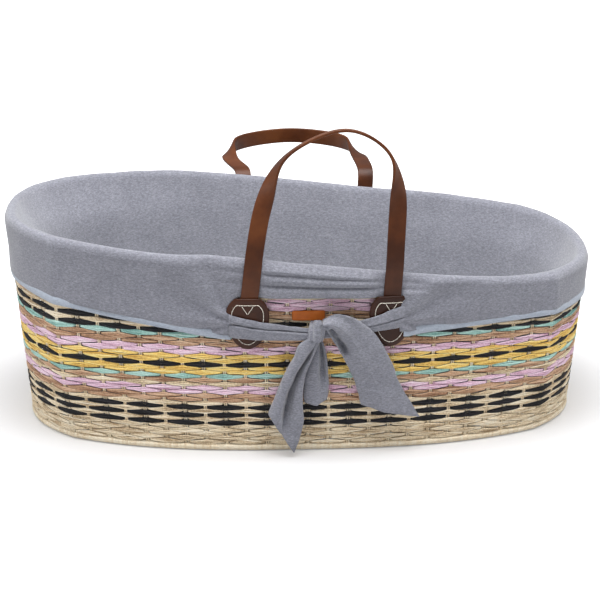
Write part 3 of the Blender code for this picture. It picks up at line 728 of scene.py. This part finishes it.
def soften(obj, height, scale, seed):
    """Moves points a little along their normals, in a smooth random pattern."""
    mesh = obj.data
    count = len(mesh.vertices)
    points = np.empty(count * 3)
    mesh.vertices.foreach_get("co", points)
    normals = np.empty(count * 3)
    mesh.vertices.foreach_get("normal", normals)
    points, normals = points.reshape(-1, 3), normals.reshape(-1, 3)
    moved = points + normals * (cloth_noise(points, scale, seed) * height)[:, None]
    mesh.vertices.foreach_set("co", moved.reshape(-1))
    mesh.update()


def hem_facings():
    """The lighter facing that shows as a narrow strip below the skirt's hem, round the head and the foot."""
    section = ((0.0026, -0.0045), (0.0046, -0.0008), (0.0052, 0.0010),
               (0.0050, STRIP - 0.0008), (0.0034, STRIP))
    quarter = STAKES / 4
    for end, low, edge, way, past, stand in (
        ("head", quarter, WINDOW[0], -1, 0.0065, 0.0050),
        ("foot", -quarter, WINDOW[1], 1, 0.0050, 0.0085),
    ):
        u = np.linspace(low, low + 2 * quarter, 289)
        u = u[way * (rim_x(u) - edge) > -past]
        x = rim_x(u)
        hem = rim_height(x) - skirt_drop(x)
        near = stand * hump(x, edge, 0.020)
        wave = 0.0006 * wander(len(u), 40, 12)
        pile = Pile()
        pile.grid(np.stack([wall(u, out + wave + near, hem - drop) for out, drop in section], axis=1))
        obj = pile.make(f"hem_binding_{end}_strip", [BINDING])
        add(obj, "SOLIDIFY", thickness=0.0012, offset=0.0)
        add(obj, "SUBSURF", levels=1, render_levels=1)
        settle(obj, "hem_binding", f"hem_binding_{end}")


# ---- sashes
SASH_OUT = 0.0125
HANG = 0.10


def sheet(node, edges, depth, side, seed, across=30, along=40, crumple=0.0012):
    """Cloth through edge curves of (x, z) points, side by side. depth is how far it is from y = 0."""
    curves = [curve_through(edge, along) for edge in edges]
    t = np.linspace(0, 1, along)
    rows = []
    for s in np.linspace(0, 1, across):
        place = s * (len(curves) - 1)
        k = min(int(place), len(curves) - 2)
        share = smoothstep(0, 1, place - k)
        flat = curves[k] * (1 - share) + curves[k + 1] * share
        x, z = flat[:, 0], flat[:, 1] - HANG * np.maximum(0.19 - flat[:, 1], 0)
        rows.append(np.stack([x, side * depth(s, t, x, z), z], axis=-1))
    pile = Pile()
    pile.grid(np.stack(rows, axis=1))
    obj = pile.make(node + "_cloth", [JERSEY])
    soften(obj, crumple, 70, seed)
    add(obj, "SOLIDIFY", thickness=CLOTH, offset=0.0)
    add(obj, "SUBSURF", levels=1, render_levels=1)
    settle(obj, "grey_jersey", node)


def front_y(x, z, out):
    """How far from y = 0 a point out from the wall's long side is."""
    return np.abs(side_y(x, -1, out, z))


def sashes(prefix, side):
    """The two folded bands that run from the skirt's edges to the knot."""

    def band_depth(fold, rise, dip):
        """Depth of a band with its fold at that share of its width: dip at the skirt, rise at the knot."""
        def depth(s, t, x, z):
            crease = -0.0085 * hump(s, fold, 0.055) * (0.55 + 0.45 * t)
            crown = 0.0042 * np.sin(np.pi * s) ** 0.7
            pleats = 0.0010 * np.sin(14 * s + 2 * t) * t
            lift = rise * smoothstep(0.5, 1, t) - dip * (1 - smoothstep(0, 0.15, t))
            return front_y(x, z, SASH_OUT) + crease + crown + pleats + lift
        return depth

    sheet(prefix + "_sash_left", (
        ((-0.1085, 0.2090), (-0.098, 0.2065), (-0.065, 0.1985), (-0.030, 0.1935), (0.004, 0.1900)),
        ((-0.1085, 0.1925), (-0.098, 0.1925), (-0.065, 0.1870), (-0.030, 0.1850), (0.004, 0.1830)),
        ((-0.1090, 0.1785), (-0.098, 0.1775), (-0.065, 0.1745), (-0.030, 0.1745), (0.004, 0.1750)),
    ), band_depth(0.38, 0.004, 0.001), side, seed=3)
    sheet(prefix + "_sash_right", (
        ((0.134, 0.2190), (0.118, 0.2150), (0.095, 0.2060), (0.069, 0.1985), (0.020, 0.1915)),
        ((0.135, 0.2040), (0.122, 0.2010), (0.098, 0.1950), (0.072, 0.1905), (0.020, 0.1850)),
        ((0.138, 0.1890), (0.128, 0.1880), (0.105, 0.1850), (0.080, 0.1820), (0.020, 0.1770)),
    ), band_depth(0.55, 0.003, 0.003), side, seed=4)


def knot(prefix, side):
    """A tied knot: a soft lump with creases that wind round it, under a band that wraps across."""
    centre = np.array([0.0100, side * front_y(0.010, 0.186, 0.0185), 0.1865])
    around = 36
    a = np.linspace(0.02, np.pi - 0.02, 28)[:, None]
    b = np.linspace(0, 2 * np.pi, around, endpoint=False)[None, :]
    wind = b + 1.1 * np.cos(a)
    groove = 1 + 0.075 * np.sin(4 * wind + 0.6) + 0.04 * np.sin(9 * wind + 2 * a)
    x = 0.0112 * np.sin(a) * np.cos(b) * groove
    y = 0.0098 * np.sin(a) * np.sin(b) * groove
    z = 0.0150 * np.cos(a) * (1 + 0.06 * np.sin(3 * b))
    pile = Pile()
    pile.grid(centre + np.stack([x + 0.10 * z, y, z + 0 * b], axis=-1), loop_columns=True)
    pile.cap(around)
    t = np.linspace(0, 2 * np.pi, 72, endpoint=False)[:, None]
    s = np.linspace(-1, 1, 13)[None, :]
    tilt = 0.22
    bulge = 1 + 0.10 * (1 - s * s) + 0.11 * np.sin(9 * t + 2.4 * s)
    across, up = 0.0100 * np.cos(t), 0.0112 * s
    band = np.stack([across * bulge + tilt * up, 0.0120 * np.sin(t) * bulge, up - tilt * across], axis=-1)
    pile.grid(centre + band, loop_rows=True)
    obj = closed_piece(pile, prefix + "_knot_cloth", [JERSEY], "grey_jersey", prefix + "_knot")
    add(obj, "SUBSURF", levels=1, render_levels=1)


def tail_y(x, z, out):
    """The wall's distance under a tail, level below the base and above the knot."""
    return front_y(x, np.clip(z, 0.10, 0.22), out)


def broad_depth(s, t, x, z):
    """A tail thrown over the knot: bowed across, with creases that die out and one deep fold at its top."""
    bow = 0.0105 * np.sin(np.pi * s) * (1 - 0.65 * t)
    rise = 0.0060 * hump(t, 0.12, 0.14)
    creases = 0.0030 * np.sin(13 * s + 5 * t) * np.exp(-3.4 * t) + 0.0009 * np.sin(7 * s - 9 * t) * t
    deep = smoothstep(0.05, 0.14, t) * smoothstep(0.46, 0.30, t)
    fold = -0.0135 * hump(s, 0.17, 0.075, 4) * deep
    return tail_y(x, z, 0.0140) + bow + rise + creases + fold + 0.004 * (1 - t)


def folded_depth(s, t, x, z):
    """Two rounded halves with a valley between them."""
    left = 0.0095 * np.sin(np.pi * np.clip(s / 0.5, 0, 1)) ** 0.6
    deep = smoothstep(0.03, 0.2, t) * smoothstep(0.98, 0.72, t)
    valley = -0.0140 * hump(s, 0.51, 0.165, 4) * deep
    right = 0.0045 * np.sin(np.pi * np.clip((s - 0.5) / 0.5, 0, 1)) ** 0.7
    opening = 0.35 + 0.65 * smoothstep(0, 0.25, t)
    return tail_y(x, z, 0.0150) + (left + valley + right) * opening + 0.006 * (1 - t)


def loop_depth(s, t, x, z):
    """A rounded loop with a fold along its right side."""
    crown = 0.0070 * np.sin(np.pi * s) ** 0.8
    fold = -0.0125 * hump(s, 0.76, 0.12, 4) * smoothstep(0.85, 0.5, t)
    return tail_y(x, z, 0.0095) + crown * (0.5 + 0.5 * smoothstep(0, 0.3, t)) + fold


def tails(prefix, side):
    """Below the knot: a broad tail thrown to the right, a folded tail to the left and a short loop."""
    sheet(prefix + "_tail_broad", (
        ((0.0175, 0.1960), (0.0250, 0.1880), (0.0379, 0.1661), (0.0487, 0.1476), (0.0582, 0.1275),
         (0.0649, 0.1118), (0.0717, 0.0847)),
        ((0.0172, 0.2000), (0.0330, 0.1995), (0.0520, 0.1830), (0.0690, 0.1580), (0.0830, 0.1330),
         (0.0940, 0.1080), (0.1040, 0.0745)),
        ((0.0170, 0.2040), (0.0352, 0.2129), (0.0541, 0.2083), (0.0710, 0.1967), (0.0906, 0.1793),
         (0.1135, 0.1393), (0.1230, 0.1136), (0.1545, 0.0641)),
    ), broad_depth, side, seed=5, across=40, along=52, crumple=0.0016)
    sheet(prefix + "_tail_folded", (
        ((0.0030, 0.1800), (-0.0134, 0.1698), (-0.0215, 0.1529), (-0.0350, 0.1262), (-0.0458, 0.0994),
         (-0.0552, 0.0755)),
        ((0.0090, 0.1770), (0.0020, 0.1560), (-0.0134, 0.1320), (-0.0255, 0.1062), (-0.0330, 0.0800),
         (-0.0380, 0.0490)),
        ((0.0140, 0.1770), (0.0060, 0.1560), (-0.0050, 0.1299), (-0.0090, 0.0931), (-0.0080, 0.0605),
         (-0.0207, 0.0225)),
    ), folded_depth, side, seed=6, across=36, along=44)
    sheet(prefix + "_tail_loop", (
        ((0.0075, 0.1790), (0.0040, 0.1560), (-0.0039, 0.1299), (-0.0073, 0.0988), (-0.0060, 0.0885)),
        ((0.0120, 0.1790), (0.0120, 0.1560), (0.0110, 0.1250), (0.0110, 0.0990), (0.0110, 0.0850)),
        ((0.0150, 0.1790), (0.0231, 0.1521), (0.0265, 0.1181), (0.0262, 0.1020), (0.0245, 0.0925)),
    ), loop_depth, side, seed=8, along=34)


# ---- handles
FRONT_LEAN, BACK_LEAN = math.radians(-10), math.radians(85)
ARCH_FRONT = ((-0.0605, 0.075), (-0.031, 0.139), (0.045, 0.174), (0.101, 0.151), (0.119, 0.105))
ARCH_BACK = ((-0.096, 0.075), (-0.078, 0.142), (0.0045, 0.176), (0.087, 0.142), (0.108, 0.075))
STRAP_THICK = 0.0040
STRAP_INSET = 0.0015


def strap_leg(side, foot, hinge):
    """One leg from its foot in the patch up to the hinge, as (point, flat side, height above the hinge)."""
    foot_z, level_z = 0.206, 0.262
    rows = []
    for t in np.linspace(0, 1, 18)[:-1]:
        x, z = foot + (hinge - foot) * t, foot_z + (HINGE_HEIGHT - foot_z) * t
        low = side_y(np.array([x]), side, 0.0068, np.array([min(z, level_z)]))[0]
        high = side * (HINGE_OUT - STRAP_INSET)
        y = low + (high - low) * smoothstep(0.45, 1.0, t)
        rows.append((np.array([x, y, z]), np.array([0, side, 0.0]), 0.0))
    return rows


def strap_line(side, lean, arch):
    """The strap's middle line from one patch, up over the arch, down to the other, with its flat side."""
    pivot = np.array([0, side * HINGE_OUT, HINGE_HEIGHT])
    rise = np.array([0, side * math.sin(lean), math.cos(lean)])
    away = np.array([0, side * math.cos(lean), -math.sin(lean)])
    line = strap_leg(side, HANDLE_FEET[0], HINGE_FEET[0])
    for x, height in curve_through([(HINGE_FEET[0], 0.004), *arch, (HINGE_FEET[1], 0.004)], 90):
        line.append((pivot + np.array([x, 0, 0]) + rise * height - away * STRAP_INSET, away, height))
    return line + strap_leg(side, HANDLE_FEET[1], HINGE_FEET[1])[::-1]


def evened(rows, rounds):
    """Rows with each but the first and last drawn towards its neighbours, as many times as asked."""
    for _ in range(rounds):
        rows[1:-1] = (rows[:-2] + 2 * rows[1:-1] + rows[2:]) / 4
    return rows


def unit(rows):
    return rows / np.linalg.norm(rows, axis=1)[:, None]


def strap_section():
    """Round the strap, as (across, through): soft corners, slightly crowned faces."""
    half_w, half_t, soft, crown = STRAP_WIDE / 2, STRAP_THICK / 2, 0.0011, 0.0003
    section = []
    for cx, cy, start in ((1, 1, 0), (-1, 1, 90), (-1, -1, 180), (1, -1, 270)):
        for step in range(4):
            angle = math.radians(start + 30 * step)
            w = cx * (half_w - soft) + soft * math.cos(angle)
            section.append((w, cy * (half_t - soft) + soft * math.sin(angle)))
        if cx == cy:
            section += [(cx * half_w * place, cy * (half_t + crown)) for place in (0.35, 0.0, -0.35)]
        else:
            section.append((cx * (half_w - crown), 0.0))
    return section


def strap(prefix, side, lean, arch):
    """A double leather strap with rounded edges that turns edge-on as it arches, and bends at the hinge."""
    line = strap_line(side, lean, arch)
    middle = evened(np.array([point for point, _, _ in line]), 6)
    flat = evened(np.array([facing for _, facing, _ in line]), 10)
    along = unit(np.gradient(middle, axis=0))
    turn = np.pi / 2 * smoothstep(0.050, 0.150, np.array([height for _, _, height in line]))[:, None]
    across = unit(np.cross(along, flat))
    wide = across * np.cos(turn) + np.cross(across, along) * np.sin(turn)
    thin = np.cross(along, wide)
    section = strap_section()
    rings = np.stack([middle + wide * w + thin * t for w, t in section], axis=1)
    pile = Pile()
    pile.grid(rings, loop_columns=True, tint=0.5 + 0.4 * wander(len(line), 14, 21))
    pile.cap(len(section))
    obj = pile.make(prefix + "_strap", [LEATHER])
    face_outwards(obj)
    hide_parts(*(f"{prefix}_{node}" for node in ("handle_strap", "strap_end_left", "strap_end_right")))
    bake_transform(obj)


PATCH_HALF, PATCH_BELOW, PATCH_CUT = 0.0293, 0.0500, 0.0240
PATCH_OUT = 0.0106
# share of the outline and step back from the face, for rings from the middle to the edge
PATCH_RINGS = ((0.02, 0.0), (0.3, 0.0), (0.5, 0.0), (0.65, 0.0), (0.8, 0.0), (0.93, 0.0),
               (0.985, -0.0006), (1.0, -0.0016), (1.0, -0.0030))


def patch_outline(count=72):
    """A patch that is round above, cut flat at its top and drawn down below, as (x, z) about its middle."""
    turn = np.linspace(0, 2 * np.pi, count, endpoint=False)
    x, z = PATCH_HALF * np.cos(turn), np.sin(turn)
    z = np.where(z > 0, z * PATCH_HALF, z * PATCH_BELOW)
    return np.stack([x, np.where(z > PATCH_CUT, PATCH_CUT + (z - PATCH_CUT) * 0.10, z)], axis=-1)


def on_patch(side, x_mid, flat, out):
    """Points at (x, z) about the patch's middle, out from its face, which rises over the strap's end."""
    x, z = x_mid + flat[:, 0], PATCH_MIDDLE + flat[:, 1]
    seam = 0.0016 * hump(flat[:, 0], 0, 0.0135, 6) * smoothstep(0.004, 0.012, flat[:, 1])
    y = side_y(x, side, 0.0, np.full_like(z, PATCH_MIDDLE))
    y = y + side * (FLARE * (z - PATCH_MIDDLE) + PATCH_OUT + out + seam)
    return np.stack([x, y, z], axis=-1)


def patch(prefix, side, where, x_mid):
    """A leather patch with a rounded edge, and the stitches on it."""
    outline = patch_outline()
    pile = Pile()
    pile.grid(np.array([on_patch(side, x_mid, outline * share, out) for share, out in PATCH_RINGS]),
              loop_columns=True)
    pile.cap(len(outline))
    node = f"{prefix}_patch_{where}"
    closed_piece(pile, node + "_leather", [PATCH_LEATHER], "brown_leather", node)
    stitches(prefix, side, where, x_mid)


def stitches(prefix, side, where, x_mid):
    """Hand stitches: a round line inside the patch's edge, and a V in the middle of its top."""
    turns = np.radians(np.linspace(90, -270, 90))
    arc = np.stack([0.0215 * np.cos(turns), np.sin(turns)], axis=-1)
    arc[:, 1] = np.where(arc[:, 1] > 0, np.minimum(arc[:, 1] * 0.0205, 0.0152), arc[:, 1] * 0.0425)
    left, low, right = np.array([(-0.0078, 0.0142), (0.0, 0.0010), (0.0078, 0.0142)])
    lines = ((curve_through(arc, 120), 0.0060), (np.linspace(left, low, 30), 0.0140),
             (np.linspace(low, right, 30), 0.0140))
    thread, gap = 0.00050, 0.06
    arch = 0.0006 * np.sin(np.pi * np.linspace(0, 1, 7)) ** 0.5
    pile = Pile()
    for path, length in lines:
        total = np.linalg.norm(np.diff(path, axis=0), axis=1).sum()
        count = max(1, round(total / length))
        for k in range(count):
            t = np.linspace(k / count + gap / count, (k + 1) / count - gap / count, 7) * (len(path) - 1)
            flat = np.stack([np.interp(t, np.arange(len(path)), path[:, c]) for c in (0, 1)], axis=-1)
            raised = on_patch(side, x_mid, flat, arch + 0.0001)
            pile.tube(raised, thread, thread, up=np.array([0, side, 0.0]), tint=0.6)
    node = f"{prefix}_stitching_{where}"
    closed_piece(pile, node + "_thread", [THREAD], "waxed_thread", node)


def leather_tab():
    """The blank tab: a soft-edged strip of leather, folded round the rows and a little bowed."""
    half_w, half_h, half_d = 0.0224, 0.0072, 0.0012
    middle_x, middle_z = -0.0005, 0.2045
    around = 16
    rows = []
    for s in np.linspace(-1, 1, 25):
        ring = []
        end = (1 - abs(s) ** 14) ** 0.5 if abs(s) < 1 else 0.02
        x = middle_x + half_w * s
        face = side_y(np.array([x]), -1, 0.0026, np.array([middle_z]))[0]
        for t in np.linspace(0, 2 * np.pi, around, endpoint=False):
            h = half_h * np.sign(math.sin(t)) * abs(math.sin(t)) ** 0.5
            d = half_d * np.sign(math.cos(t)) * abs(math.cos(t)) ** 0.6
            ring.append((x, face - (d * end + 0.0008 * (1 - s * s)), middle_z + h * (0.8 + 0.2 * end)))
        rows.append(ring)
    pile = Pile()
    pile.grid(np.array(rows), loop_columns=True)
    pile.cap(around)
    closed_piece(pile, "leather_tab_strip", [TAB_LEATHER], "orange_leather", "leather_tab")


# ---- mattress
# share of the outline and height above the underside, from the middle below to the middle above
PAD_PROFILE = ((0.03, 0.0), (0.4, 0.0), (0.8, 0.0), (0.965, 0.0005), (0.99, 0.003), (1.0, 0.009),
               (1.0, 0.018), (0.999, 0.027), (0.992, 0.0325), (0.975, 0.0352), (0.93, 0.0364),
               (0.8, 0.0372), (0.5, 0.0378), (0.2, 0.0380), (0.03, 0.0380))


def mattress():
    """A crowned pad in a fitted sheet, drawn in between top and bottom seams."""
    underside, length, width = 0.0215, 0.357, 0.173
    turn = np.linspace(0, 2 * np.pi, 192, endpoint=False)
    rings = []
    for share, rise in PAD_PROFILE:
        ring = oval(turn, length * share, width * share)
        rings.append(np.column_stack([ring, np.full(len(turn), underside + rise)]))
    pile = Pile()
    pile.grid(np.array(rings), loop_columns=True)
    pile.cap(len(turn))
    obj = pile.make("mattress_in_sheet", [COTTON])
    face_outwards(obj)
    soften(obj, 0.0009, 22, 9)
    settle(obj, "white_cotton", "mattress_sheet", "mattress_core", body="mattress")


# ---- frame
def finish_frame():
    """The metal frame keeps its CAD shapes, in a dark paint."""
    for name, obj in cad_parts.items():
        if name.startswith(("post_", "floor_rail_", "floor_bar_")) or name.endswith("_hoop"):
            for slot in obj.material_slots:
                slot.material = STEEL


# ---- studio
def white_world():
    """White where the camera sees it, and a dimmer fill light elsewhere."""
    world = bpy.data.worlds.new("studio")
    bpy.context.scene.world = world
    world.use_nodes = True
    tree = world.node_tree
    background = tree.nodes["Background"]
    background.inputs["Color"].default_value = (1, 1, 1, 1)
    path = tree.nodes.new("ShaderNodeLightPath")
    strength = tree.nodes.new("ShaderNodeMix")
    strength.inputs["A"].default_value = 0.36
    strength.inputs["B"].default_value = 1.0
    tree.links.new(path.outputs["Is Camera Ray"], strength.inputs["Factor"])
    tree.links.new(strength.outputs["Result"], background.inputs["Strength"])


def white_floor():
    """A floor that takes a soft shadow near the basket and glows into the white background further out."""
    half = 12.0
    mesh = bpy.data.meshes.new("floor")
    corners = [(-half, -half, 0), (half, -half, 0), (half, half, 0), (-half, half, 0)]
    mesh.from_pydata(corners, [], [(0, 1, 2, 3)])
    floor = link_object("floor", mesh, (0, 0, -0.0006))
    white = Shader("white_floor", roughness=0.9)
    for name, value in (("Base Color", (0.62, 0.62, 0.63, 1)), ("Emission Color", (1, 1, 1, 1)),
                        ("Specular IOR Level", 0.1)):
        white.surface.inputs[name].default_value = value
    seen = white.node("ShaderNodeLightPath").outputs["Is Camera Ray"]
    away = white.node("ShaderNodeVectorMath", operation="LENGTH")
    white.link(white.node("ShaderNodeNewGeometry").outputs["Position"], away.inputs[0])
    ease = white.node("ShaderNodeMapRange", interpolation_type="SMOOTHSTEP")
    for socket, value in (("From Min", 0.40), ("From Max", 1.10), ("To Min", 0.20), ("To Max", 0.95)):
        ease.inputs[socket].default_value = value
    white.link(away.outputs["Value"], ease.inputs["Value"])
    glow = white.math("MULTIPLY", seen, ease.outputs["Result"])
    white.link(glow, white.surface.inputs["Emission Strength"])
    mesh.materials.append(white.material)


def lamps():
    """Three soft lamps that face the basket."""
    aim = Vector((0, 0, 0.12))
    for name, location, size, power in (
        ("overhead", (0.0, -0.40, 2.3), 2.0, 88.0),
        ("left", (-2.6, -0.4, 1.3), 1.6, 14.0),
        ("right", (2.6, -0.2, 1.3), 1.6, 10.0),
    ):
        light = bpy.data.lights.new(name, "AREA")
        light.size = size
        light.energy = power
        lamp = link_object(name, light, location)
        lamp.rotation_euler = (aim - Vector(location)).to_track_quat("-Z", "Y").to_euler()


def front_camera():
    """A long lens in front of the basket and a little above it."""
    camera = bpy.data.cameras.new("camera")
    camera.lens = 122.9
    camera.sensor_width = 36.0
    back = Vector((-0.0498, -0.9497, 0.309)).normalized()
    view = link_object("camera", camera, Vector((0, 0, 0.152)) + back * 3.0)
    view.rotation_euler = back.to_track_quat("Z", "Y").to_euler()
    bpy.context.scene.camera = view
    bpy.context.scene.view_settings.view_transform = "Standard"


# ---- assembly
weave_walls()
weave_stakes()
wrapped_border("base_border", -0.0030, lambda x: 0.0051 + 0 * x, 0.0056, 0.0051,
               wraps=9, per_wrap=5, sides=12)
wrapped_border("rim_border", -0.0048, lambda x: rim_height(x) - 0.0050, 0.0046, 0.0048,
               wraps=5, per_wrap=4, sides=8)
floor_mat()
liner()
hem_facings()
for prefix, side in (("front", -1), ("back", 1)):
    sashes(prefix, side)
    knot(prefix, side)
    tails(prefix, side)
    for where, x_mid in zip(("left", "right"), HANDLE_FEET):
        patch(prefix, side, where, x_mid)
strap("front", -1, FRONT_LEAN, ARCH_FRONT)
strap("back", 1, BACK_LEAN, ARCH_BACK)
leather_tab()
mattress()
finish_frame()
white_world()
white_floor()
lamps()
front_camera()
